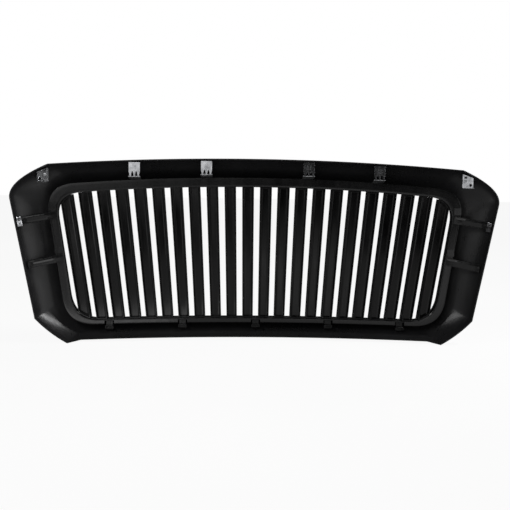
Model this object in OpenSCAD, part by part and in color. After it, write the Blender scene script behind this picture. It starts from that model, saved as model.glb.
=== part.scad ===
// Vehicle front grille: a deep surround shell, a bowed insert frame, a fan of slats, and the
// straps, spring clips and latches that hold them together.
// X runs across the vehicle, -Y is the front that faces the road, +Z is up.
// The origin is the middle of the bounding box at its lowest point. All sizes are in millimetres.

/* [Overall] */
// Width across the widest points of the wings
overall_w = 1224; // [1160:8:1288]
// Depth from the front lip to the rear edges of the wings
overall_d = 130; // [124:1:136]
// Radius of the frame's bow, seen from above
bow_r = 3000; // [2800:50:3600]
// Radius of the front lip's bow, seen from above
lip_bow_r = 2250; // [2200:50:2400]

/* [Surround shell] */
// Height of the top edge at the middle of the grille
top_edge_z = 468; // [462:1:474]
// Drop of the top edge from the middle to the top corners
top_edge_drop = 20.5; // [15:0.5:24]
// Half width at the top corners
top_corner_x = 521; // [512:1:530]
// Height of the widest points
widest_z = 359; // [350:1:368]
// Half width at the lower corners of the wings
low_corner_x = 554; // [548:1:560]
// Height of the lower corners of the wings
low_corner_z = 62; // [58:1:70]
// Half width at the lowest tips
tip_x = 474; // [468:1:482]
// Half width at the ends of the bottom wall
notch_x = 442; // [436:1:450]
// Height of the bottom edge at the middle of the grille
bottom_edge_z = 9; // [8:1:14]
// Wall thickness of the surround shell
wall = 3.2; // [2.4:0.2:4]

/* [Insert frame] */
// Height of the frame's inner top edge at the middle
frame_top_z = 396; // [390:1:402]
// Height of the frame's inner bottom edge at the middle
frame_bottom_z = 56.5; // [54:0.5:59]
// Half width of the frame's inside at mid height
frame_half_w = 494.5; // [490:0.5:500]
// Lean of the frame's sides from vertical, in degrees
side_lean = 8.2; // [7.8:0.1:9]
// Distance from the front lip back to the frame's rear face
frame_set_back = 55; // [50:1:60]
// Width of the frame's top band
band_top = 24.5; // [22:0.5:28]
// Width of the frame's side bands
band_side = 20.5; // [18:0.5:24]
// Width of the frame's bottom band
band_bottom = 14; // [12:1:15]
// Sheet thickness of the frame
frame_t = 3; // [2.4:0.2:3.4]

/* [Slats] */
// Number of slats
slat_count = 22; // [22]
// Distance between slat centres at mid height
slat_pitch = 44.7; // [44:0.1:44.9]
// Width of a slat at mid height
slat_w = 29; // [26:0.5:30]
// Depth of a slat from front to back
slat_d = 38; // [30:1:40]
// Wall thickness of a slat
slat_t = 2.4; // [2:0.2:3]

/* [Clips, straps and latches] */
// Width of a top clip
clip_w = 28; // [24:1:30]
// Sheet thickness of the steel clips
clip_t = 1; // [0.8:0.1:1.4]
// Radius of the screw hole in each corner clip
screw_hole_r = 3.25; // [2.5:0.25:3.5]
// Half distance between the two corner screw holes
screw_x = 540; // [536:1:543]
// Height of the corner screw holes
screw_z = 410; // [407:1:412]
// Height of a strap's face
strap_w = 19; // [16:1:21]
// Width of a lower latch
latch_w = 22; // [18:1:24]

/* [Hidden] */
half_w = overall_w / 2;
front_y = -overall_d / 2;
wing_rear_y = overall_d / 2;
mid_z = 276;
fan_drop = 3110;
frame_arch = 17;
frame_arch_half = 430;
frame_bottom_arch = 3;
return_d = 34;
side_return_d = 15;
return_half_w = 446;
skirt_d = 14;
slat_recess = 4;
slat_end_gap = 0.1;
seat_gap = 0.2;
top_clip_x = [310, 130, -130, -310];
latch_x = [376, 190, 0, -190, -376];
latch_gap = 1;
lug_w = 19;
lug_h = 7;
lug_at = [[514, 341.5], [499.5, 234.5]];
strap_upper = [[506, 320], [588, 306]];
strap_lower = [[488, 213], [574, 196]];
strap_t = 3;
strap_flange = 11;
top_steps = 12;
corner_steps = 8;
side_steps = 8;
low_steps = 9;
bottom_steps = 12;
skin_steps = 8;
bow_fn = 720;

NODES = concat(
    ["surround_shell", "insert_frame"],
    [for (i = [1 : slat_count]) slat_name(i)],
    [for (i = [1 : len(top_clip_x)]) str("top_clip_", i)],
    ["corner_clip_left", "corner_clip_right", "side_clip_left", "side_clip_right"],
    ["strap_upper_left", "strap_upper_right", "strap_lower_left", "strap_lower_right"],
    [for (i = [1 : len(latch_x)]) str("lower_latch_", i)]
);
node = "all";

function slat_name(i) = str("slat_", i < 10 ? "0" : "", i);
function wanted(name) = node == "all" || node == name;

// Bow of the frame and of the front lip: Y as a function of X
function frame_y(x) = front_y + frame_set_back + x * x / (2 * bow_r);
function lip_y(x) = front_y + x * x / (2 * lip_bow_r);

// Points of a quadratic curve from a to c that leaves towards b, without its last point
function curve(a, b, c, n) = [
    for (i = [0 : n - 1])
        let (t = i / n) (1 - t) * (1 - t) * a + 2 * t * (1 - t) * b + t * t * c
];
// Points of a straight run from a to b, without its last point
function run(a, b, n) = [for (i = [0 : n - 1]) a + (b - a) * i / n];

// Half of a rounded, arched trapezoid, from the top middle to the bottom middle.
// Each edge is moved out by its own distance, and r is the length of the corner curves.
function trapezoid_side_x(z, out) = frame_half_w + out / cos(side_lean) + (z - mid_z) * tan(side_lean);
function trapezoid_top_z(x, out) = frame_top_z + out - frame_arch * pow(x / frame_arch_half, 2);
function trapezoid_bottom_z(x, out) =
    frame_bottom_z - out - frame_bottom_arch * pow(x / frame_arch_half, 2);
function half_trapezoid(out_top, out_side, out_bottom, r) =
    let (
        lean = [sin(side_lean), cos(side_lean)],
        top_z = trapezoid_top_z(trapezoid_side_x(frame_top_z, out_side), out_top),
        low_z = trapezoid_bottom_z(trapezoid_side_x(frame_bottom_z, out_side), out_bottom),
        top_corner = [trapezoid_side_x(top_z, out_side), top_z],
        low_corner = [trapezoid_side_x(low_z, out_side), low_z],
        top_x = top_corner[0] - r,
        low_x = low_corner[0] - r,
        top_end = [top_x, trapezoid_top_z(top_x, out_top)],
        low_end = [low_x, trapezoid_bottom_z(low_x, out_bottom)]
    )
    concat(
        [for (i = [0 : top_steps - 1]) let (x = top_x * i / top_steps) [x, trapezoid_top_z(x, out_top)]],
        curve(top_end, top_corner, top_corner - r * lean, corner_steps),
        run(top_corner - r * lean, low_corner + r * lean, side_steps),
        curve(low_corner + r * lean, low_corner, low_end, low_steps),
        [for (i = [bottom_steps : -1 : 0])
            let (x = low_x * i / bottom_steps) [x, trapezoid_bottom_z(x, out_bottom)]]
    );
// Closes a half outline with its mirror image
function mirrored(half) = concat(
    half,
    [for (i = [len(half) - 2 : -1 : 1]) [for (k = [0 : len(half[i]) - 1]) k == 0 ? -half[i][0] : half[i][k]]]
);

frame_inner = mirrored(half_trapezoid(0, 0, 0, 65));
frame_return = mirrored(half_trapezoid(frame_t, frame_t, frame_t, 66));
frame_skirt = mirrored(half_trapezoid(band_top - frame_t, band_side - frame_t, band_bottom - frame_t, 70));
frame_outer = mirrored(half_trapezoid(band_top, band_side, band_bottom, 71));

// Rear edge of the surround as [x, z, y], with the same number of points as half_trapezoid
corner_pull = [half_w + 9, widest_z + 43];
top_mid_rear_y = wing_rear_y - 35;
top_corner_rear_y = wing_rear_y - 9;
bottom_mid_rear_y = frame_y(0) + 26;
function top_edge(x) =
    let (s = pow(x / top_corner_x, 2))
    [x, top_edge_z - top_edge_drop * s, top_mid_rear_y + (top_corner_rear_y - top_mid_rear_y) * s];
function bottom_edge(x) =
    [x, bottom_edge_z - 3 * pow(x / notch_x, 2), bottom_mid_rear_y + x * x / (2 * bow_r)];
rear_edge = concat(
    [for (i = [0 : top_steps - 1]) top_edge(top_corner_x * i / top_steps)],
    curve(
        top_edge(top_corner_x),
        [corner_pull[0], corner_pull[1], wing_rear_y],
        [half_w, widest_z, wing_rear_y],
        corner_steps
    ),
    run([half_w, widest_z, wing_rear_y], [low_corner_x, low_corner_z, wing_rear_y], side_steps),
    curve(
        [low_corner_x, low_corner_z, wing_rear_y],
        [(low_corner_x + tip_x) / 2 + 5, low_corner_z / 2 - 6, wing_rear_y],
        [tip_x, 0, wing_rear_y],
        low_steps - 1
    ),
    [[tip_x, 0, wing_rear_y]],
    [for (i = [bottom_steps : -1 : 0]) bottom_edge(notch_x * i / bottom_steps)]
);

// One cross-section of the shell between a lip point and a rear edge point.
// The skin leaves the lip at a shallow slope and turns back until it runs front to back.
lip_out = [4, 4, 3.4];
lip_half = half_trapezoid(lip_out[0], lip_out[1], lip_out[2], 68);
skin_mix = 0.45;
function skin_rise(u) = skin_mix * u + (1 - skin_mix) * (1 - sqrt(1 - u * u));
function skin_slope(u) = skin_mix + (1 - skin_mix) * u / sqrt(max(1 - u * u, 0.02));
function section(lip, edge) =
    let (
        way = [edge[0] - lip[0], edge[1] - lip[1]],
        len = norm(way),
        dir = way / len,
        y0 = lip_y(lip[0]),
        rise = edge[2] - y0,
        tunnel_y = frame_y(lip[0]) - frame_t - seat_gap,
        outer = [for (k = [0 : skin_steps]) let (u = sin(90 * k / skin_steps)) [u * len, y0 + rise * skin_rise(u)]],
        inner = [
            for (k = [skin_steps - 1 : -1 : 2])
                let (
                    u = sin(90 * k / skin_steps),
                    slope = [len, rise * skin_slope(u)],
                    n = wall * [-slope[1], slope[0]] / norm(slope)
                )
                [u * len, y0 + rise * skin_rise(u)] + n
        ],
        back = [[len - wall, edge[2]]],
        tunnel = [[wall, y0 + wall * 1.6], [wall, tunnel_y], [0, tunnel_y]]
    )
    [for (p = concat(outer, back, inner, tunnel)) [lip[0] + dir[0] * p[0], p[1], lip[1] + dir[1] * p[0]]];

module loft(sections) {
    rings = len(sections);
    per = len(sections[0]);
    points = [for (s = sections) for (p = s) p];
    faces = [
        for (i = [0 : rings - 1])
            for (j = [0 : per - 1])
                let (
                    a = i * per + j,
                    b = i * per + (j + 1) % per,
                    c = ((i + 1) % rings) * per + (j + 1) % per,
                    d = ((i + 1) % rings) * per + j
                )
                for (f = [[a, b, c], [a, c, d]]) f
    ];
    polyhedron(points = points, faces = faces, convexity = 10);
}

// Extrudes an outline of [x, z] points from y0 back to y1
module plan(outline, y0, y1) {
    translate([0, y1, 0])
        rotate([90, 0, 0])
            linear_extrude(height = y1 - y0)
                polygon(outline);
}

// The space between the frame's rear face and a bowed surface that lies depth in front of it
module bowed_layer(depth) {
    translate([0, frame_y(0) + bow_r, -20])
        difference() {
            cylinder(r = bow_r + depth, h = 520, $fn = bow_fn);
            translate([0, 0, -1])
                cylinder(r = bow_r, h = 522, $fn = bow_fn);
        }
}

// A closed band between two outlines, cut to a bowed layer
module bowed_band(outer, inner, depth) {
    intersection() {
        difference() {
            plan(outer, front_y, wing_rear_y);
            plan(inner, front_y - 1, wing_rear_y + 1);
        }
        bowed_layer(depth);
    }
}

module surround_shell() {
    rear_loop = mirrored(rear_edge);
    lip_loop = mirrored(lip_half);
    color("#17181a")
        loft([for (i = [0 : len(lip_loop) - 1]) section(lip_loop[i], rear_loop[i])]);
}

module insert_frame() {
    color("#1d1e20")
        difference() {
            union() {
                bowed_band(frame_outer, frame_inner, frame_t);
                bowed_band(frame_return, frame_inner, side_return_d);
                intersection() {
                    bowed_band(frame_return, frame_inner, return_d);
                    translate([-return_half_w, front_y, 0])
                        cube([2 * return_half_w, overall_d, top_edge_z]);
                }
                bowed_band(frame_outer, frame_skirt, skirt_d);
                for (side = [-1, 1])
                    for (at = lug_at)
                        translate([side * at[0] - lug_w / 2, frame_y(at[0]) - 2, at[1] - lug_w / 2])
                            cube([lug_w, lug_h, lug_w]);
            }
            for (x = latch_x)
                translate([
                    x - latch_w / 2 - latch_gap,
                    frame_y(x) - skirt_d - 2,
                    trapezoid_bottom_z(x, frame_t + 0.6) - 20
                ])
                    cube([latch_w + 2 * latch_gap, skirt_d + 8, 20]);
        }
}

// Outline of a slat: two lines towards the point where all slats meet, cut by the frame
module slat_solid(x_mid, width, y0, y1) {
    top_k = 1 + (420 - mid_z) / fan_drop;
    low_k = 1 + (40 - mid_z) / fan_drop;
    plan(
        [
            [(x_mid - width / 2) * low_k, 40],
            [(x_mid + width / 2) * low_k, 40],
            [(x_mid + width / 2) * top_k, 420],
            [(x_mid - width / 2) * top_k, 420]
        ],
        y0,
        y1
    );
}

module slat(i) {
    x_mid = (i - (slat_count + 1) / 2) * slat_pitch;
    rear_y = frame_y(x_mid) - slat_recess;
    cut = -slat_end_gap;
    pocket_cut = -slat_end_gap - slat_t;
    color("#141517")
        difference() {
            intersection() {
                slat_solid(x_mid, slat_w, rear_y - slat_d, rear_y);
                plan(mirrored(half_trapezoid(cut, cut, cut, 65)), rear_y - slat_d - 1, rear_y + 1);
            }
            intersection() {
                slat_solid(x_mid, slat_w - 2 * slat_t, rear_y - slat_d + slat_t, rear_y + 1);
                plan(
                    mirrored(half_trapezoid(pocket_cut, pocket_cut, pocket_cut, 65)),
                    rear_y - slat_d,
                    rear_y + 2
                );
            }
        }
}

// A rectangular bar of sheet from one [y, z] point to another, seen along X
module sheet_run(from, to, width, t) {
    way = to - from;
    translate([-width / 2, from[0], from[1]])
        rotate([atan2(way[1], way[0]), 0, 0])
            translate([0, 0, -t / 2])
                cube([width, norm(way), t]);
}

// A top clip: a plate with a hook at its top, three tongues below it and a sloping foot on the frame
module top_clip(x) {
    edge = top_edge(x);
    plate_y = edge[2] - 2;
    plate_top = edge[1] - wall - 1.6;
    plate_low = plate_top - 26;
    foot_z = trapezoid_top_z(x, band_top) + clip_t;
    foot_y = frame_y(x) + 2;
    knee_z = foot_z + 6;
    tongue_w = 7;
    tongues = [
        for (place = [0.36, 0, -0.36])
            let (mid = place * clip_w)
            [
                [mid + tongue_w / 2, plate_low],
                [mid + tongue_w / 2, knee_z - 0.2],
                [mid - tongue_w / 2, knee_z - 0.2],
                [mid - tongue_w / 2, plate_low]
            ]
    ];
    comb = concat(
        [[-clip_w / 2, plate_low], [-clip_w / 2, plate_top], [clip_w / 2, plate_top], [clip_w / 2, plate_low]],
        [for (tongue = tongues) for (p = tongue) p]
    );
    color("#c9ccd0")
        translate([x, 0, 0])
            union() {
                plan(comb, plate_y - clip_t / 2, plate_y + clip_t / 2);
                sheet_run([plate_y - 9, plate_top - 3], [plate_y, plate_top], clip_w, clip_t);
                sheet_run([foot_y - 1, foot_z + 0.25], [plate_y, knee_z], clip_w, clip_t);
                sheet_run([foot_y - 9, foot_z], [foot_y + 1, foot_z], clip_w, clip_t);
            }
}

// A corner clip: a plate with a sloping top edge and a screw hole, and a foot bent at its lower edge
module corner_clip() {
    t = clip_t * 1.2;
    outer_x = screw_x + 7;
    inner_x = outer_x - clip_w;
    low_z = screw_z - 8;
    plate_y = wing_rear_y - 12;
    color("#c9ccd0")
        difference() {
            union() {
                plan(
                    [[inner_x, low_z], [outer_x, low_z], [outer_x, low_z + 26], [inner_x, low_z + 36]],
                    plate_y - t / 2,
                    plate_y + t / 2
                );
                translate([(inner_x + outer_x) / 2, 0, 0])
                    sheet_run([plate_y - 22, low_z], [plate_y + 8, low_z], clip_w, t);
            }
            translate([screw_x, plate_y + 5, screw_z])
                rotate([90, 0, 0])
                    cylinder(r = screw_hole_r, h = 10, $fn = 48);
        }
}

// A side clip: a C of sheet steel that follows the slope of the wing's edge
module side_clip() {
    height = 24;
    rear_y = wing_rear_y - 4;
    edge_slope = atan2(half_w - low_corner_x, widest_z - low_corner_z);
    color("#d2d4d7")
        translate([589, 0, 303.5])
            rotate([0, edge_slope, 0])
                union() {
                    sheet_run([rear_y, -height / 2], [rear_y, height / 2], 12, clip_t);
                    for (z = [-height / 2, height / 2])
                        sheet_run([rear_y - 9, z], [rear_y, z], 12, clip_t);
                }
}

// A strap from the frame's band to the wing, with its two ends as [x, z]
module strap(inner, outer) {
    in_y = frame_y(inner[0]) + seat_gap + 1;
    out_y = wing_rear_y - 10;
    span = outer - inner;
    length = norm(span);
    rise = atan2(out_y - in_y, length);
    color("#191a1c")
        translate([inner[0], in_y, inner[1]])
            rotate([0, -atan2(span[1], span[0]), 0])
                rotate([0, 0, rise])
                    union() {
                        translate([0, 0, -strap_w / 2])
                            cube([length, strap_t, strap_w]);
                        for (z = [-strap_w / 2, strap_w / 2 - strap_t + 0.5])
                            translate([24, -strap_flange + 1, z])
                                cube([length - 34, strap_flange, strap_t - 0.5]);
                    }
}

// A latch tongue that stands in a notch of the frame's lower band, with a loop behind it
module lower_latch(x) {
    tongue_y = -9.6;
    tongue_t = 2.4;
    loop_y = tongue_y + tongue_t - 0.4;
    loop_d = 9;
    loop_h = 9;
    loop_t = 2.4;
    color("#222326")
        translate([x - latch_w / 2, frame_y(x), trapezoid_bottom_z(x, band_bottom)])
            union() {
                translate([loop_t, tongue_y, -16])
                    cube([latch_w - 2 * loop_t, tongue_t, 16 + band_bottom - frame_t - 1.2]);
                translate([0, loop_y, -2.6 - loop_t])
                    cube([latch_w, loop_d, loop_t]);
                for (leg_x = [0, latch_w - loop_t])
                    translate([leg_x, loop_y, -2.6 - loop_h])
                        cube([loop_t, loop_d, loop_h]);
            }
}

if (wanted("surround_shell")) surround_shell();
if (wanted("insert_frame")) insert_frame();
for (i = [1 : slat_count])
    if (wanted(slat_name(i))) slat(i);
for (i = [1 : len(top_clip_x)])
    if (wanted(str("top_clip_", i))) top_clip(top_clip_x[i - 1]);
if (wanted("corner_clip_left")) corner_clip();
if (wanted("corner_clip_right")) mirror([1, 0, 0]) corner_clip();
if (wanted("side_clip_left")) side_clip();
if (wanted("side_clip_right")) mirror([1, 0, 0]) side_clip();
if (wanted("strap_upper_left")) strap(strap_upper[0], strap_upper[1]);
if (wanted("strap_upper_right")) mirror([1, 0, 0]) strap(strap_upper[0], strap_upper[1]);
if (wanted("strap_lower_left")) strap(strap_lower[0], strap_lower[1]);
if (wanted("strap_lower_right")) mirror([1, 0, 0]) strap(strap_lower[0], strap_lower[1]);
for (i = [1 : len(latch_x)])
    if (wanted(str("lower_latch_", i))) lower_latch(latch_x[i - 1]);
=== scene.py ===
"""Vehicle front grille, seen from behind and a little above, on a plain pale floor in soft studio light."""
import math

import bmesh
import bpy
import numpy as np
from mathutils import Matrix, Vector


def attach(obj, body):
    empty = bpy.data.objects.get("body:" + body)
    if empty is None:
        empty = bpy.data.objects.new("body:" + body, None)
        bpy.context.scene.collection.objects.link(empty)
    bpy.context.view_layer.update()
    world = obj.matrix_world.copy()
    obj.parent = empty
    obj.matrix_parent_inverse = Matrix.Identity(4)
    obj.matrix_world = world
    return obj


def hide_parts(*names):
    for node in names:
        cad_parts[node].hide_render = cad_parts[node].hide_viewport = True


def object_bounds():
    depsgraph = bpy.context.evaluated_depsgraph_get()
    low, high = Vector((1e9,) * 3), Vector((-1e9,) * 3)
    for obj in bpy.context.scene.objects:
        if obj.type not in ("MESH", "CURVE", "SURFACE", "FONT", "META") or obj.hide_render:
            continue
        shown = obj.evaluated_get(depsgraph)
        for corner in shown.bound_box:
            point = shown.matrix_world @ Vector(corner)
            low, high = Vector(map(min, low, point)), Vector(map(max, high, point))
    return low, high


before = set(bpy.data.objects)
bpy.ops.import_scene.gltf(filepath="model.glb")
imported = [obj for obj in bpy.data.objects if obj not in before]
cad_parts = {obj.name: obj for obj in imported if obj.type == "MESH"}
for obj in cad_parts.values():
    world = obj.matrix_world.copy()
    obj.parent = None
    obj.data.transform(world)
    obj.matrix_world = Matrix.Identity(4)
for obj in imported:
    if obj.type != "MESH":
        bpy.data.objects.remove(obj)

CAD_BOX = [list(corner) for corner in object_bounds()]
MM = 0.001

# Sizes of the part, in millimetres, as in the CAD model.
HALF_W, FRONT_Y, WING_Y = 612.0, -65.0, 65.0
BOW_R, LIP_BOW_R, FRAME_SET_BACK = 3000.0, 2250.0, 55.0
TOP_EDGE_Z, TOP_DROP, TOP_CORNER_X, WIDEST_Z = 468.0, 20.5, 521.0, 359.0
TOP_SHORT, TOP_SWEEP, BOTTOM_REAR, BOTTOM_DROP = 35.0, 26.0, 26.0, 3.0
LOW_CORNER = np.array([554.0, 62.0, WING_Y])
TIP = np.array([474.0, 0.0, WING_Y])
NOTCH_X, BOTTOM_Z, WALL = 442.0, 9.0, 3.2
FRAME_TOP, FRAME_LOW, FRAME_HALF, MID_Z = 396.0, 56.5, 494.5, 276.0
LEAN = math.radians(8.2)
ARCH, ARCH_LOW, ARCH_HALF = 17.0, 3.0, 430.0
BAND_TOP, BAND_SIDE, BAND_LOW = 24.5, 20.5, 14.0
FRAME_T, RETURN_D, SIDE_RETURN_D, RETURN_HALF, SKIRT_D = 3.0, 34.0, 15.0, 446.0, 14.0
SLATS, PITCH, SLAT_W, SLAT_D, SLAT_T, FAN = 22, 44.7, 29.0, 38.0, 2.4, 3110.0
SLAT_RECESS, END_GAP, SLAT_DEEP = 4.0, 0.1, 13.0
TOP_CLIP_X = (310, 130, -130, -310)
LATCH_X = (376, 190, 0, -190, -376)
CLIP_W, CLIP_T, CORNER_CLIP_T, LATCH_W = 28.0, 1.0, 1.2, 22.0
SCREW = (540.0, 410.0, 3.25)
SIDE_CLIP = (589.0, 303.5)
LUGS = ((514.0, 341.5), (499.5, 234.5))
STRAPS = {"upper": ((506, 320), (588, 306)), "lower": ((488, 213), (574, 196))}

# Where the stations lie along each part of a half outline, from the top middle to the bottom middle.
TOP_S = np.linspace(0, 1, 60, endpoint=False)
CORNER_S = np.linspace(0, 1, 24, endpoint=False)
SIDE_S = np.linspace(0, 1, 24, endpoint=False)
LOW_S = np.linspace(0, 1, 36, endpoint=False)
BOTTOM_S = np.linspace(1, 0, 61)
TIP_AT = 8 / 9

# Points of one cross-section of the surround: round the lip, along each skin, and round the rear rim.
LIP_POINTS, SKIN_POINTS, RIM_POINTS = 4, 26, 3


# ---------------------------------------------------------------- outlines
def frame_y(x):
    """Depth of the frame's rear face, which is bowed across the vehicle."""
    return FRONT_Y + FRAME_SET_BACK + x * x / (2 * BOW_R)


def lip_y(x):
    """Depth of the surround's front lip."""
    return FRONT_Y + x * x / (2 * LIP_BOW_R)


def side_x(z, out):
    """Half width of the leaning side of the frame's opening at height z, moved out by out."""
    return FRAME_HALF + out / math.cos(LEAN) + (z - MID_Z) * math.tan(LEAN)


def top_z(x, out):
    return FRAME_TOP + out - ARCH * (x / ARCH_HALF) ** 2


def low_z(x, out):
    return FRAME_LOW - out - ARCH_LOW * (x / ARCH_HALF) ** 2


def bezier(a, b, c, t):
    t = np.asarray(t, float)[:, None]
    return (1 - t) ** 2 * np.asarray(a) + 2 * t * (1 - t) * np.asarray(b) + t * t * np.asarray(c)


def between(a, b, t):
    return np.asarray(a) + (np.asarray(b) - np.asarray(a)) * np.asarray(t, float)[:, None]


def half_outline(out_top, out_side, out_low, r):
    """Half of the frame's opening, from x = 0 up, moved out by three distances, with corners of size r."""
    lean = np.array([math.sin(LEAN), math.cos(LEAN)])
    zt = top_z(side_x(FRAME_TOP, out_side), out_top)
    zl = low_z(side_x(FRAME_LOW, out_side), out_low)
    top = np.array([side_x(zt, out_side), zt])
    low = np.array([side_x(zl, out_side), zl])
    tx, lx = top[0] - r, low[0] - r
    x, xb = tx * TOP_S, lx * BOTTOM_S
    return np.vstack([
        np.c_[x, top_z(x, out_top)],
        bezier([tx, top_z(tx, out_top)], top, top - r * lean, CORNER_S),
        between(top - r * lean, low + r * lean, SIDE_S),
        bezier(low + r * lean, low, [lx, low_z(lx, out_low)], LOW_S),
        np.c_[xb, low_z(xb, out_low)],
    ])


def top_edge(x):
    """Height and depth of the surround's top rear edge."""
    s = (x / TOP_CORNER_X) ** 2
    return TOP_EDGE_Z - TOP_DROP * s, WING_Y - TOP_SHORT + TOP_SWEEP * s


def rear_edge():
    """Rear edge of the surround as x, z, y, at the same stations as a half outline."""
    def top(x):
        return np.c_[(x, *top_edge(x))]

    def bottom(x):
        z = BOTTOM_Z - BOTTOM_DROP * (x / NOTCH_X) ** 2
        return np.c_[x, z, frame_y(0) + BOTTOM_REAR + x * x / (2 * BOW_R)]

    widest = np.array([HALF_W, WIDEST_Z, WING_Y])
    pull = [(LOW_CORNER[0] + TIP[0]) / 2 + 5, LOW_CORNER[1] / 2 - 6, WING_Y]
    curve, chord = LOW_S[LOW_S < TIP_AT - 1e-9] / TIP_AT, LOW_S[LOW_S >= TIP_AT - 1e-9]
    return np.vstack([
        top(TOP_CORNER_X * TOP_S),
        bezier(top(np.array([TOP_CORNER_X]))[0], [HALF_W + 9, WIDEST_Z + 43, WING_Y], widest, CORNER_S),
        between(widest, LOW_CORNER, SIDE_S),
        bezier(LOW_CORNER, pull, TIP, curve),
        between(TIP, bottom(np.array([NOTCH_X]))[0], (chord - TIP_AT) / (1 - TIP_AT)),
        bottom(NOTCH_X * BOTTOM_S),
    ])


def loop(half):
    """Closes a half outline with its mirror image."""
    back = half[-2:0:-1].copy()
    back[:, 0] *= -1
    return np.vstack([half, back])


# ---------------------------------------------------------------- mesh helpers
class Build:
    """Collects vertices in millimetres and faces with a material number, and makes one piece of them."""

    def __init__(self):
        self.verts, self.faces, self.mats, self.count = [], [], [], 0

    def add(self, verts, faces, mat=0):
        verts = np.asarray(verts, float).reshape(-1, 3)
        self.verts.append(verts)
        self.faces += [tuple(int(i) + self.count for i in f) for f in faces]
        self.mats += list(mat) if hasattr(mat, "__len__") else [mat] * len(faces)
        self.count += len(verts)
        return self

    def piece(self, name, materials, slot, nodes=(), sharp=32, bevel=0.0):
        mesh = bpy.data.meshes.new(name)
        mesh.from_pydata((np.vstack(self.verts) * MM).tolist(), [], self.faces)
        mesh.polygons.foreach_set("material_index", self.mats)
        for m in materials:
            mesh.materials.append(m)
        bm = bmesh.new()
        bm.from_mesh(mesh)
        bmesh.ops.recalc_face_normals(bm, faces=bm.faces)
        bm.to_mesh(mesh)
        bm.free()
        mesh.shade_smooth()
        mesh.set_sharp_from_angle(angle=math.radians(sharp))
        obj = bpy.data.objects.new(name, mesh)
        bpy.context.scene.collection.objects.link(obj)
        if bevel:
            mod = obj.modifiers.new("soft_edges", "BEVEL")
            mod.width, mod.segments, mod.limit_method = bevel * MM, 2, "ANGLE"
            mod.angle_limit = math.radians(38)
            mod.harden_normals = True
        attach(obj, "root")
        if nodes:
            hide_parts(*nodes)
        return obj


def grid_faces(rows, cols, close_rows=False, close_cols=True):
    """Quads of a grid of rows x cols vertices."""
    faces = []
    for i in range(rows if close_rows else rows - 1):
        for j in range(cols if close_cols else cols - 1):
            a, b = i * cols + j, i * cols + (j + 1) % cols
            k = (i + 1) % rows * cols
            faces.append((a, b, k + (j + 1) % cols, k + j))
    return faces


def capped_loft(build, sections):
    """A closed solid through cross-sections that have the same number of points."""
    sections = np.asarray(sections, float)
    rows, cols = sections.shape[:2]
    faces = grid_faces(rows, cols)
    faces += [tuple(range(cols)), tuple(range((rows - 1) * cols, rows * cols))[::-1]]
    build.add(sections.reshape(-1, 3), faces)


def rounded(points, r, steps=5):
    """A polyline whose inner corners are rounded."""
    pts = [np.asarray(p, float) for p in points]
    out = [pts[0]]
    for before, corner, after in zip(pts, pts[1:], pts[2:]):
        a, b = before - corner, after - corner
        cut = min(r, 0.45 * np.linalg.norm(a), 0.45 * np.linalg.norm(b))
        out += list(bezier(corner + a / np.linalg.norm(a) * cut, corner,
                           corner + b / np.linalg.norm(b) * cut, np.linspace(0, 1, steps)))
    return np.array(out + [pts[-1]])


def sheet(build, path, widths, t, place):
    """A bent sheet along a 2-D path. place turns (path a, path b, width c) into x, y, z."""
    path = np.asarray(path, float)
    along = np.gradient(path, axis=0)
    normal = np.c_[-along[:, 1], along[:, 0]]
    normal = t / 2 * normal / np.linalg.norm(normal, axis=1)[:, None]
    half = np.broadcast_to(np.asarray(widths, float) / 2, (len(path),))
    rows = []
    for p, n, h in zip(path, normal, half):
        rows.append([place(*(p + s * n), c * h) for s, c in ((1, 1), (1, -1), (-1, -1), (-1, 1))])
    capped_loft(build, rows)


def box(build, lo, hi, turn=None, taper=0.0):
    """A block from lo to hi. taper draws its rear face in; turn is a function on its points."""
    (x0, y0, z0), (x1, y1, z1) = lo, hi
    front = [(x0, y0, z0), (x1, y0, z0), (x1, y0, z1), (x0, y0, z1)]
    rear = [(x0 + taper, y1, z0 + taper), (x1 - taper, y1, z0 + taper),
            (x1 - taper, y1, z1 - taper), (x0 + taper, y1, z1 - taper)]
    rows = [front, rear]
    if turn:
        rows = [[turn(*p) for p in row] for row in rows]
    capped_loft(build, rows)


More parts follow.
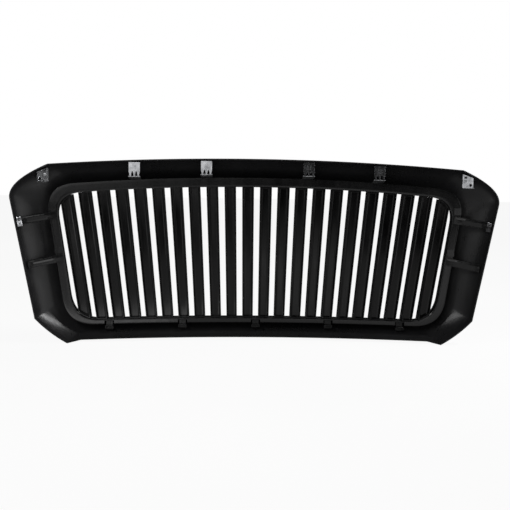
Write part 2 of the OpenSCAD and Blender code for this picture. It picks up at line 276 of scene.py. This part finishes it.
# ---------------------------------------------------------------- materials
class Nodes:
    """Short calls that place shader nodes and link them."""

    def __init__(self, name):
        self.mat = bpy.data.materials.new(name)
        self.mat.use_nodes = True
        self.tree = self.mat.node_tree
        self.bsdf = self.tree.nodes["Principled BSDF"]
        self.place = self.new("ShaderNodeTexCoord").outputs["Object"]

    def new(self, kind, **props):
        node = self.tree.nodes.new(kind)
        for k, v in props.items():
            setattr(node, k, v)
        return node

    def link(self, a, b):
        self.tree.links.new(a, b)

    def noise(self, scale, detail=2.0, rough=0.5, stretch=(1, 1, 1)):
        mapping = self.new("ShaderNodeMapping")
        mapping.inputs["Scale"].default_value = stretch
        tex = self.new("ShaderNodeTexNoise")
        tex.inputs["Scale"].default_value = scale
        tex.inputs["Detail"].default_value = detail
        tex.inputs["Roughness"].default_value = rough
        self.link(self.place, mapping.inputs["Vector"])
        self.link(mapping.outputs["Vector"], tex.inputs["Vector"])
        return tex.outputs["Fac"]

    def span(self, value, low, high, to_low=0.0, to_high=1.0):
        node = self.new("ShaderNodeMapRange")
        for i, v in enumerate((low, high, to_low, to_high)):
            node.inputs[i + 1].default_value = v
        self.link(value, node.inputs[0])
        return node.outputs[0]

    def math(self, op, a, b):
        node = self.new("ShaderNodeMath", operation=op)
        for i, v in enumerate((a, b)):
            if isinstance(v, (int, float)):
                node.inputs[i].default_value = v
            else:
                self.link(v, node.inputs[i])
        return node.outputs[0]

    def mix(self, fac, a, b):
        node = self.new("ShaderNodeMix", data_type="RGBA")
        self.link(fac, node.inputs["Factor"])
        for key, v in (("A", a), ("B", b)):
            socket = [s for s in node.inputs if s.name == key and s.type == "RGBA"][0]
            if isinstance(v, tuple):
                socket.default_value = (*v, 1)
            else:
                self.link(v, socket)
        return [s for s in node.outputs if s.type == "RGBA"][0]

    def bump(self, height, distance, strength, after=None):
        node = self.new("ShaderNodeBump")
        node.inputs["Distance"].default_value = distance
        node.inputs["Strength"].default_value = strength
        self.link(height, node.inputs["Height"])
        if after:
            self.link(after, node.inputs["Normal"])
        return node.outputs["Normal"]


def black_plastic(name, base, rough, grain, dust=0.35, ior=1.47):
    """Moulded black ABS: fine spark texture, uneven gloss, rubbed edges, a little dust on upward faces."""
    n = Nodes(name)
    dark = tuple(c * 0.72 for c in base)
    cloud = n.noise(7.0, 3.0, 0.6)
    colour = n.mix(n.span(cloud, 0.35, 0.68), dark, base)
    geometry = n.new("ShaderNodeNewGeometry")
    worn = n.span(geometry.outputs["Pointiness"], 0.53, 0.62, 0.0, 0.5)
    colour = n.mix(worn, colour, tuple(min(1, c * 2.2 + 0.006) for c in base))
    up = n.new("ShaderNodeSeparateXYZ")
    n.link(geometry.outputs["Normal"], up.inputs[0])
    specks = n.span(n.noise(420.0, 4.0, 0.75), 0.60, 0.78)
    patches = n.span(n.noise(11.0, 4.0, 0.7), 0.45, 0.75)
    dusty = n.math("MULTIPLY", n.math("MULTIPLY", specks, patches),
                   n.span(up.outputs["Z"], -0.1, 0.8, 0.15, dust))
    colour = n.mix(dusty, colour, (0.11, 0.105, 0.10))
    n.link(colour, n.bsdf.inputs["Base Color"])
    streaks = n.noise(60.0, 3.0, 0.6, (1, 1, 0.15))
    uneven = n.math("ADD", n.span(cloud, 0.3, 0.7, -0.05, 0.05), n.span(streaks, 0.3, 0.7, -0.035, 0.035))
    uneven = n.math("ADD", n.math("ADD", uneven, rough), n.span(dusty, 0, 0.4, 0, 0.2))
    n.link(uneven, n.bsdf.inputs["Roughness"])
    n.bsdf.inputs["IOR"].default_value = ior
    spark = n.bump(n.noise(1500.0, 2.0, 0.6), grain, 0.5)
    flow = n.bump(n.noise(26.0, 2.0, 0.4, (1, 1, 0.5)), 0.0003, 0.25, spark)
    n.link(flow, n.bsdf.inputs["Normal"])
    return n.mat


def spring_steel(name, bright, dull):
    """Coated spring steel with fine rolling marks and dull blooms."""
    n = Nodes(name)
    bloom = n.noise(90.0, 4.0, 0.65)
    lines = n.noise(240.0, 3.0, 0.6, (1, 1, 0.06))
    colour = n.mix(n.span(bloom, 0.35, 0.7), bright, dull)
    n.link(colour, n.bsdf.inputs["Base Color"])
    n.bsdf.inputs["Metallic"].default_value = 1.0
    n.link(n.math("ADD", n.span(bloom, 0.3, 0.7, 0.11, 0.21), n.span(lines, 0.3, 0.7, -0.03, 0.03)),
           n.bsdf.inputs["Roughness"])
    n.link(n.bump(lines, 0.00005, 0.4), n.bsdf.inputs["Normal"])
    return n.mat


def floor_material(name):
    """Pale studio floor with a faint unevenness."""
    n = Nodes(name)
    n.link(n.mix(n.span(n.noise(0.9, 2.0), 0.3, 0.7), (0.055, 0.055, 0.055), (0.085, 0.085, 0.085)),
           n.bsdf.inputs["Base Color"])
    n.bsdf.inputs["Roughness"].default_value = 0.9
    n.bsdf.inputs["Specular IOR Level"].default_value = 0.0
    n.bsdf.inputs["Emission Color"].default_value = (1, 1, 1, 1)
    n.bsdf.inputs["Emission Strength"].default_value = 0.93
    return n.mat


OUTSIDE = black_plastic("shell_outside_black", (0.016, 0.016, 0.017), 0.27, 0.00002, 0.12)
INSIDE = black_plastic("shell_inside_black", (0.022, 0.022, 0.023), 0.30, 0.00002)
FRAME = black_plastic("frame_black", (0.010, 0.010, 0.0104), 0.16, 0.000008, ior=1.56)
SLAT = black_plastic("slat_black", (0.006, 0.006, 0.0063), 0.15, 0.000008)
LATCH = black_plastic("latch_black", (0.010, 0.010, 0.0105), 0.26, 0.00001)
STEEL = spring_steel("zinc_steel", (0.70, 0.71, 0.73), (0.50, 0.51, 0.53))
# A darker copy of the zinc steel for the right side clip: painted shade, not a different finish.
SHADED_STEEL = spring_steel("steel_painted_shade", (0.12, 0.12, 0.124), (0.08, 0.08, 0.083))


# ---------------------------------------------------------------- surround
def skin(u, length, y0, rise):
    """Outer skin of the surround as (way from the lip, depth), at shares u of its length."""
    return np.c_[u * length, y0 + rise * (0.45 * u + 0.55 * (1 - np.sqrt(np.maximum(1 - u * u, 0))))]


def skin_inside(u, length, y0, rise):
    """The same skin moved inwards by the wall."""
    slope = 0.45 + 0.55 * u / np.sqrt(np.maximum(1 - u * u, 1e-5))
    n = np.c_[-rise * slope, np.full_like(u, length)]
    return skin(u, length, y0, rise) + WALL * n / np.linalg.norm(n, axis=1)[:, None]


def shell_section(lip, edge):
    """One closed cross-section of the surround, from its lip to its rear edge, as x, y, z points."""
    way = edge[:2] - lip
    length = np.linalg.norm(way)
    way = way / length
    y0, y1, tunnel = lip_y(lip[0]), edge[2], frame_y(lip[0]) - FRAME_T - 0.2
    rise, last = y1 - y0, 0.9999
    fillet, nose, soft = 5.0, 3.0, 0.9
    low, high = 0.0, 0.9  # halved until the inner skin starts where the fillet ends
    for _ in range(22):
        mid = (low + high) / 2
        if skin_inside(np.array([mid]), length, y0, rise)[0, 0] < WALL + fillet:
            low = mid
        else:
            high = mid
    ease = np.sin(np.linspace(0, math.pi / 2, SKIN_POINTS))
    outer = skin(nose / length + (last - nose / length) * ease, length, y0, rise)
    inner = skin_inside(low + (last - low) * ease, length, y0, rise)[::-1]
    start = inner[-1]
    slope = (inner[-2] - inner[-1])[1] / (inner[-2] - inner[-1])[0]
    corner = np.array([WALL, start[1] - slope * fillet])
    t = np.linspace(0, 1, LIP_POINTS + 1)
    mid_t = t[1:-1]
    profile = np.vstack([
        bezier([0, y0 + nose], [0, y0], outer[0], t[:-1]),
        outer,
        bezier(outer[-1], [length, y1], [length - soft, y1], mid_t), [[length - soft, y1]],
        bezier([length - WALL + soft, y1], [length - WALL, y1], inner[0], t[:-1]),
        inner,
        bezier(start, corner, corner + [0, fillet * 1.2], mid_t), [corner + [0, fillet * 1.2]],
        bezier([WALL, tunnel - soft], [WALL, tunnel], [WALL - soft, tunnel], t),
        bezier([soft, tunnel], [0, tunnel], [0, tunnel - soft], t),
    ])
    return np.c_[lip[0] + way[0] * profile[:, 0], profile[:, 1], lip[1] + way[1] * profile[:, 0]]


def surround():
    lips, edges = loop(half_outline(4, 4, 3.4, 68)), loop(rear_edge())
    rows = np.array([shell_section(a, b) for a, b in zip(lips, edges)])
    count, per = rows.shape[:2]
    faces = grid_faces(count, per, close_rows=True)
    seen_from_front = LIP_POINTS + SKIN_POINTS + RIM_POINTS
    materials = [0 if i % per < seen_from_front else 1 for i in range(len(faces))]
    Build().add(rows.reshape(-1, 3), faces, materials).piece(
        "surround_moulding", [OUTSIDE, INSIDE], "shell_plastic", ["surround_shell"], sharp=40)


# ---------------------------------------------------------------- insert frame
def frame_rows(profile):
    """Sweeps a profile of (share of the band, millimetres more, depth) around the frame.
    The return wall is shorter along the frame's sides than at its top and bottom."""
    cols = []
    for share, more, depth in profile:
        line = loop(half_outline(share * BAND_TOP + more, share * BAND_SIDE + more,
                                 share * BAND_LOW + more, 65 + 6 * share + more / 3))
        ease = np.clip((np.abs(line[:, 0]) - RETURN_HALF + 3) / 3, 0, 1)
        short = np.where(depth < -SIDE_RETURN_D, depth * SIDE_RETURN_D / RETURN_D, depth)
        cols.append(np.c_[line[:, 0], frame_y(line[:, 0]) + depth + (short - depth) * ease, line[:, 1]])
    return np.stack(cols, axis=1)


def insert_frame():
    """The ring with its latch notches, and the lugs on its side bands."""
    arc = [(1 - math.cos(a), 1 - math.sin(a)) for a in np.radians([0, 22, 45, 68, 90])]
    inner_r, outer_r = 2.6, 1.6
    profile = [(0, 0.5, -RETURN_D), (0, 0, -RETURN_D + 0.5), (0, 0, -24), (0, 0, -5)]
    profile += [(0, inner_r * a, -inner_r * b) for a, b in arc]
    profile += [(s, 0, 0) for s in (0.3, 0.5, 0.7)]
    profile += [(1, -outer_r * b, -outer_r * a) for a, b in arc]
    profile += [(1, 0, -SKIRT_D + 0.5), (1, -0.5, -SKIRT_D), (1, -2.5, -SKIRT_D), (1, -3, -SKIRT_D + 0.5)]
    profile += [(1, -3, -4.6), (1, -3.5, -3.5), (1, -4.6, -3), (0, 4.6, -3), (0, 3.5, -3.5), (0, 3, -4.6)]
    profile += [(0, 3, -RETURN_D + 0.5), (0, 2.5, -RETURN_D)]
    rows = frame_rows(profile)
    build = Build().add(rows.reshape(-1, 3), grid_faces(*rows.shape[:2], close_rows=True))
    ring = build.piece("insert_frame_moulding", [FRAME], "frame_plastic", ["insert_frame"], sharp=40)

    cutter = Build()
    for x in LATCH_X:
        w, top = LATCH_W / 2 + 1, low_z(x, FRAME_T + 0.6)
        box(cutter, (x - w, frame_y(x) - SKIRT_D - 6, top - 22), (x + w, frame_y(x) + 8, top))
    tool = cutter.piece("notch_tool", [FRAME], "frame_plastic")
    cut = ring.modifiers.new("notches", "BOOLEAN")
    cut.object, cut.operation, cut.solver = tool, "DIFFERENCE", "EXACT"
    bpy.context.view_layer.update()
    done = bpy.data.meshes.new_from_object(ring.evaluated_get(bpy.context.evaluated_depsgraph_get()))
    ring.modifiers.clear()
    ring.data = done
    done.set_sharp_from_angle(angle=math.radians(35))
    bpy.data.objects.remove(tool)

    lugs = Build()
    for side in (-1, 1):
        for x, z in LUGS:
            y = frame_y(x)
            wedge = [(-9.4, -1.5), (-9.4, 4.3), (-8.2, 4.9), (9.4, 2.9), (9.4, -1.5)]
            rows = [[(side * (x + w), y + b - 0.1 * abs(w), z + a) for a, b in wedge] for w in (-9.3, 9.3)]
            capped_loft(lugs, rows)
            box(lugs, (side * x - 6, y - 1, z - 34), (side * x + 6, y + 1.2, z - 32.6))
            box(lugs, (side * x - 6, y - 1, z - 29), (side * x + 6, y + 1.0, z - 28))
    lugs.piece("frame_lugs", [FRAME], "frame_plastic", ["insert_frame"], bevel=0.7)


# ---------------------------------------------------------------- slats
def frame_limits(out):
    """Functions that give the frame's inner top and bottom height at an x, moved out by out."""
    line = half_outline(out, out, out, 65)
    turn = len(TOP_S) + len(CORNER_S)
    upper = line[:turn]
    upper = upper[:int(np.argmax(upper[:, 0])) + 1]
    lower = line[turn:][::-1]
    return (lambda x: np.interp(abs(x), upper[:, 0], upper[:, 1]),
            lambda x: np.interp(abs(x), lower[:, 0], lower[:, 1]))


def slat_ends(x_mid, offsets, limits):
    """Lowest and highest point of each line of a slat."""
    ends = []
    for dx in offsets:
        pair = []
        for limit, far in ((limits[1], 30.0), (limits[0], 430.0)):
            near = 260.0  # well inside the opening; far is well outside it
            for _ in range(26):
                mid = (near + far) / 2
                x = (x_mid + dx) * (1 + (mid - MID_Z) / FAN)
                inside = mid > limit(x) if limit is limits[1] else mid < limit(x)
                near, far = (mid, far) if inside else (near, mid)
            pair.append(near)
        ends.append(pair)
    return np.array(ends)


def slat_wall(w, d, r):
    """Half of a U from its rear edge round to the middle of its front plate."""
    side = [[-w / 2, y] for y in np.linspace(0, -(d - r), 4)[:-1]]
    turn = bezier([-w / 2, -(d - r)], [-w / 2, -d], [-w / 2 + r, -d], np.linspace(0, 1, 8))
    return np.vstack([side, turn, [[-w / 6, -d]]])


def slats():
    """Slats open at the back: an outer and an inner U-shaped wall, joined by a rim around the opening."""
    limits, inner_limits = frame_limits(-END_GAP), frame_limits(-END_GAP - SLAT_T)
    across = np.linspace(1, -1, 11)[1:-1]
    for i in range(1, SLATS + 1):
        x_mid = (i - (SLATS + 1) / 2) * PITCH
        rear = frame_y(x_mid) - SLAT_RECESS
        build, ends_of = Build(), []
        for w, d, r, lim in ((SLAT_W, SLAT_D, 4.0, limits),
                             (SLAT_W - 2 * SLAT_T, SLAT_DEEP, 5.5, inner_limits)):
            half = slat_wall(w, d, r)
            line = np.vstack([half, half[::-1] * [-1, 1]])
            chord = np.c_[across * w / 2, np.zeros(len(across))]
            ends, chord_ends = (slat_ends(x_mid, p[:, 0], lim) for p in (line, chord))
            rows = []
            for t in np.linspace(0, 1, 7):
                z = ends[:, 0] + (ends[:, 1] - ends[:, 0]) * t
                rows.append(np.c_[(x_mid + line[:, 0]) * (1 + (z - MID_Z) / FAN), rear + line[:, 1], z])
            for k in (0, 1):
                z = chord_ends[:, k]
                rows.append(np.c_[(x_mid + chord[:, 0]) * (1 + (z - MID_Z) / FAN), rear + chord[:, 1], z])
            base, cols, n = build.count, len(line), len(chord)
            faces = grid_faces(7, cols, close_cols=False)
            tails = [tuple(range(7 * cols + k * n, 7 * cols + (k + 1) * n)) for k in (0, 1)]
            faces += [tuple(range(cols)) + tails[0], tuple(range(6 * cols, 7 * cols)) + tails[1]]
            build.add(np.vstack(rows), faces)
            ends_of.append([[base + start + cols - 1, *(base + v for v in tail), base + start]
                            for start, tail in zip((0, 6 * cols), tails)])
            ends_of[-1].append([base + k * cols for k in range(7)])
            ends_of[-1].append([base + k * cols + cols - 1 for k in range(7)])
        for a, b in zip(*ends_of):
            rim = [(a[k], a[k + 1], b[k + 1], b[k]) for k in range(len(a) - 1)]
            build.faces += rim
            build.mats += [0] * len(rim)
        build.piece(f"slat_bar_{i:02d}", [SLAT], "slat_plastic", [f"slat_{i:02d}"], sharp=38, bevel=0.8)


# ---------------------------------------------------------------- steel clips
def top_clips():
    """A plate with a hook at its top, a raised pad, three tongues and a sloping foot on the frame."""
    for number, x in enumerate(TOP_CLIP_X, 1):
        edge_z, edge_y = top_edge(x)
        plate_y, top = edge_y - 2, edge_z - WALL - 1.6
        low = top - 24
        foot_z, foot_y = top_z(x, BAND_TOP) + CLIP_T, frame_y(x) + 2
        knee = foot_z + 6
        build = Build()

        def place(a, b, c):
            return x + c, a, b

        hook = rounded([[plate_y - 9, top - 3], [plate_y, top], [plate_y, low]], 2.5)
        sheet(build, hook, CLIP_W, CLIP_T, place)
        for shift in (-CLIP_W * 0.36, 0, CLIP_W * 0.36):
            path = [[plate_y, low + 1], [plate_y, low - 3], [plate_y, (low + knee) / 2], [plate_y, knee]]
            sheet(build, path, (9.0, 6.4, 4.6, 4.2), CLIP_T, lambda a, b, c: (x + shift + c, a, b))
        foot = rounded([[plate_y, knee + 2], [plate_y, knee],
                        [foot_y + 1, foot_z], [foot_y - 9, foot_z]], 1.6)
        sheet(build, foot, CLIP_W + 2, CLIP_T, place)
        sheet(build, [[plate_y + 0.7, low + 5], [plate_y + 0.7, low + 16]], 9, 0.8, place)
        build.piece(f"top_clip_sheet_{number}", [STEEL], "clip_steel", [f"top_clip_{number}"], bevel=0.22)


def plate_with_hole(outline, hole, radius, t):
    """Triangles of a flat plate with a round hole, as vertices (a, b, depth) and faces."""
    curve = bpy.data.curves.new("plate_tool", "CURVE")
    curve.dimensions, curve.fill_mode, curve.extrude = "2D", "BOTH", t / 2
    turn = np.linspace(0, 2 * math.pi, 40, endpoint=False)
    ring = np.c_[hole[0] + radius * np.cos(turn), hole[1] + radius * np.sin(turn)]
    for points in (outline, ring):
        spline = curve.splines.new("POLY")
        spline.points.add(len(points) - 1)
        spline.use_cyclic_u = True
        for p, q in zip(spline.points, points):
            p.co = (q[0], q[1], 0, 1)
    obj = bpy.data.objects.new("plate_tool", curve)
    bpy.context.scene.collection.objects.link(obj)
    bpy.context.view_layer.update()
    mesh = bpy.data.meshes.new_from_object(obj.evaluated_get(bpy.context.evaluated_depsgraph_get()))
    bm = bmesh.new()
    bm.from_mesh(mesh)
    bmesh.ops.remove_doubles(bm, verts=bm.verts, dist=1e-4)
    bm.verts.index_update()
    verts = np.array([v.co for v in bm.verts])
    faces = [tuple(v.index for v in f.verts) for f in bm.faces]
    bm.free()
    bpy.data.objects.remove(obj)
    bpy.data.meshes.remove(mesh)
    return verts, faces


def corner_clips():
    """A plate with a sloping top and a ringed screw hole, a raised bead, and a foot at its lower edge."""
    sx, sz, sr = SCREW
    outer, inner, low, y = sx + 7, sx + 7 - CLIP_W, sz - 8, WING_Y - 12
    outline = rounded([[(inner + outer) / 2, low], [outer, low], [outer, low + 26], [inner, low + 36],
                       [inner, low], [(inner + outer) / 2, low]], 2.2)[:-1]
    verts, faces = plate_with_hole(outline, (sx, sz), sr, CORNER_CLIP_T)
    for name, side in (("left", 1), ("right", -1)):
        build = Build()
        build.add([(side * a, y + c, b) for a, b, c in verts], faces)
        foot = rounded([[y - 22, low + 0.5], [y, low], [y + 8, low + 0.8]], 2)
        sheet(build, foot, CLIP_W, CORNER_CLIP_T,
              lambda a, b, c: (side * ((inner + outer) / 2 + c), a, b))
        bead = rounded([[y + 0.8, low + 30], [y + 2.2, low + 22], [y + 0.8, low + 16]], 3)
        sheet(build, bead, 7, 0.8, lambda a, b, c: (side * (inner + 8 + c), a, b))
        turn = np.linspace(0, 2 * math.pi, 28, endpoint=False)
        rows = [[(side * (sx + r * math.cos(a)), y + d, sz + r * math.sin(a)) for a in turn]
                for r, d in ((sr + 1.5, 0.5), (sr + 1.1, 1.3), (sr + 0.2, 1.3), (sr, 0.5), (sr, -0.4))]
        build.add(np.array(rows).reshape(-1, 3), grid_faces(5, 28))
        build.piece(f"corner_clip_sheet_{name}", [STEEL], "clip_steel", [f"corner_clip_{name}"], bevel=0.2)


def side_clips():
    """C-shaped clips that follow the slope of the wings' edges. The right one gets a darker copy of the
    steel, painted shade for the dark it shows.
    """
    rear, height = WING_Y - 4, 24
    slope = math.atan2(HALF_W - LOW_CORNER[0], WIDEST_Z - LOW_CORNER[1])
    # The right clip takes the darker steel copy, which is painted shade.
    for name, side, steel in (("left", 1, STEEL), ("right", -1, SHADED_STEEL)):
        def place(a, b, c):
            return (side * (SIDE_CLIP[0] + c * math.cos(slope) + b * math.sin(slope)), a,
                    SIDE_CLIP[1] - c * math.sin(slope) + b * math.cos(slope))

        build = Build()
        path = rounded([[rear - 9, -height / 2 + 1], [rear, -height / 2], [rear, height / 2],
                        [rear - 9, height / 2 - 1]], 2)
        sheet(build, path, 12, CLIP_T, place)
        bead = rounded([[rear + 0.3, -7], [rear + 1.3, -3], [rear + 1.3, 4], [rear + 0.3, 8]], 2)
        sheet(build, bead, 4.5, 0.8, place)
        build.piece(f"side_clip_sheet_{name}", [steel], "clip_steel", [f"side_clip_{name}"], bevel=0.2)


# ---------------------------------------------------------------- straps and latches
def straps():
    """Bars from the frame's band to the wings, flanged and ribbed, with a pad at the outer end."""
    t, h = 3.0, 19.0 / 2
    for level, (inner, outer) in STRAPS.items():
        in_y, out_y = frame_y(inner[0]) + 1.2, WING_Y - 10
        dx, dz = outer[0] - inner[0], outer[1] - inner[1]
        length = math.hypot(dx, dz)
        tilt, rise = math.atan2(dz, dx), math.atan2(out_y - in_y, length)
        for name, side in (("left", 1), ("right", -1)):
            def place(x, y, z):
                a = x * math.cos(rise) - y * math.sin(rise)
                b = x * math.sin(rise) + y * math.cos(rise)
                return (side * (inner[0] + a * math.cos(tilt) - z * math.sin(tilt)), in_y + b,
                        inner[1] + a * math.sin(tilt) + z * math.cos(tilt))

            rows = []
            for x, depth in ((0, 0.1), (20, 0.1), (23, 5), (29, 10), (length * 0.55, 10),
                             (length - 16, 10), (length - 11, 4), (length - 9, 0.1), (length, 0.1)):
                rib = 0.9 if 20 < x < length - 10 else 0.05
                line = [(t, -h), (t, 0.5), (t + rib, 2.0), (t + rib, 5.5), (t, 7.0), (t, h),
                        (-depth, h), (-depth, h - 2.5), (0.05, h - 2.6),
                        (0.05, -h + 2.6), (-depth, -h + 2.5), (-depth, -h)]
                rows.append([place(x, y, z) for y, z in line])
            build = Build()
            capped_loft(build, rows)
            box(build, (length - 13, t - 0.5, -5.5), (length - 6, t + 1.6, 5.5), turn=place, taper=0.6)
            build.piece(f"strap_bar_{level}_{name}", [FRAME], "frame_plastic",
                        [f"strap_{level}_{name}"], bevel=0.6)


def latches():
    """A tongue in its notch, a small raised pad on it, and a loop below."""
    for number, x in enumerate(LATCH_X, 1):
        y, z = frame_y(x), low_z(x, BAND_LOW)
        build = Build()

        def place(a, b, c):
            return x + c, y + a, z + b

        tongue = rounded([[-9.2, -16], [-7.0, -13], [-8.4, -4], [-8.4, 9.8]], 3)
        sheet(build, tongue, LATCH_W - 4.8, 2.4, place)
        arch = rounded([[-9.6, -11.4], [-9.6, -3.8], [9.6, -3.8], [9.6, -11.4]], 4, 7)
        sheet(build, arch, 8.6, 2.2, lambda a, b, c: (x + a, y - 3.2 + c, z + b))
        sheet(build, [[-7.2, 2], [-7.2, 8]], 5, 1.2, place)
        build.piece(f"latch_tongue_{number}", [LATCH], "latch_plastic",
                    [f"lower_latch_{number}"], bevel=0.5)


# ---------------------------------------------------------------- studio
def camera():
    """The photo's view, from behind and a little above."""
    yaw, pitch, roll = (math.radians(a) for a in (3.20, 5.18, 0.89))
    forward = Vector((-math.sin(yaw) * math.cos(pitch), -math.cos(yaw) * math.cos(pitch), -math.sin(pitch)))
    right = Vector((-math.cos(yaw), math.sin(yaw), 0))
    up = (-forward).cross(right)
    right, up = (math.cos(roll) * right + math.sin(roll) * up, math.cos(roll) * up - math.sin(roll) * right)
    data = bpy.data.cameras.new("camera")
    data.sensor_width, data.lens = 36.0, 61.55
    data.shift_x = -0.045
    data.clip_end = 100
    cam = bpy.data.objects.new("camera", data)
    bpy.context.scene.collection.objects.link(cam)
    turn = Matrix((right, up, -forward)).transposed().to_4x4()
    cam.matrix_world = Matrix.Translation((0.070, 2.246, 0.426)) @ turn
    bpy.context.scene.camera = cam


def softbox(name, at, aim, size, radiance):
    """A rectangular light of the given radiance, which the camera doesn't see."""
    data = bpy.data.lights.new(name, "AREA")
    data.shape, data.size, data.size_y = "RECTANGLE", size[0], size[1]
    data.energy = radiance * math.pi * size[0] * size[1]
    light = bpy.data.objects.new(name, data)
    bpy.context.scene.collection.objects.link(light)
    light.location = at
    light.rotation_euler = (Vector(aim) - Vector(at)).to_track_quat("-Z", "Y").to_euler()
    light.visible_camera = False


def studio():
    """Floor, a world that is white to the camera and nearly dark to the part, and the softboxes."""
    floor_mesh = bpy.data.meshes.new("floor")
    size, steps = 14.0, 8
    line = np.linspace(-size, size, steps)
    verts = [(x, y, 0.0) for y in line for x in line]
    floor_mesh.from_pydata(verts, [], grid_faces(steps, steps, close_cols=False))
    floor_mesh.materials.append(floor_material("floor_pale"))
    floor = bpy.data.objects.new("floor", floor_mesh)
    bpy.context.scene.collection.objects.link(floor)
    floor.location.z = CAD_BOX[0][2]
    floor.visible_glossy = False
    floor.visible_diffuse = False
    floor.visible_shadow = False

    world = bpy.data.worlds.new("studio")
    world.use_nodes = True
    tree = world.node_tree
    back = tree.nodes["Background"]
    path = tree.nodes.new("ShaderNodeLightPath")
    mix = tree.nodes.new("ShaderNodeMix")
    mix.data_type = "FLOAT"
    mix.inputs[2].default_value = 0.014
    mix.inputs[3].default_value = 1.0
    tree.links.new(path.outputs["Is Camera Ray"], mix.inputs[0])
    tree.links.new(mix.outputs[0], back.inputs["Strength"])
    back.inputs["Color"].default_value = (1, 1, 1, 1)
    bpy.context.scene.world = world
    bpy.context.scene.view_settings.view_transform = "Standard"

    middle = (0, 0, 0.22)
    softbox("backdrop", (0, -2.6, 2.5), (0, 0, 0.5), (4.2, 1.2), 0.8)
    softbox("window_left", (0.49, 2.6, 0.84), (0.49, 0, 0.84), (0.80, 0.96), 0.80)
    softbox("window_low", (0.17, 2.6, 0.20), (0.17, 0, 0.20), (0.12, 0.30), 0.50)
    softbox("key_left", (0.8, 2.8, 2.1), middle, (1.6, 0.8), 1.6)
    softbox("low_left", (1.26, 2.6, 0.08), (1.26, 0, 0.08), (0.5, 0.30), 1.6)
    softbox("panel_mid", (-0.17, 2.6, -0.09), (-0.17, 0, -0.09), (0.13, 0.50), 0.50)
    softbox("panel_right", (-0.46, 2.6, -0.09), (-0.46, 0, -0.09), (0.30, 0.50), 0.34)
    softbox("panel_far_right", (-1.50, 2.6, 0.62), (-1.50, 0, 0.62), (0.72, 0.7), 0.80)
    softbox("fill_right", (-2.3, 0.75, 0.6), middle, (2.2, 1.6), 0.85)
    softbox("fill_left", (2.2, 1.8, 0.8), middle, (1.4, 1.3), 0.34)
    softbox("kick_left", (1.37, 1.17, 1.45), (-0.5, 0.0, 0.07), (0.40, 0.40), 15.0)
    softbox("bounce", (0, 1.3, 0.005), (0, 1.3, 2.0), (4.0, 2.4), 0.30)
    softbox("bounce_left", (0.36, 0.32, 0.005), (0.36, 0.32, 2.0), (0.36, 0.24), 1.2)
    softbox("bounce_front", (0, -0.18, 0.005), (0, -0.18, 2.0), (1.3, 0.34), 1.3)
    softbox("over_right", (-1.32, 0.24, 1.70), (0.53, 0.04, 0.06), (0.55, 0.55), 20.0)


surround()
insert_frame()
slats()
top_clips()
corner_clips()
side_clips()
straps()
latches()
camera()
studio()

bpy.context.view_layer.update()
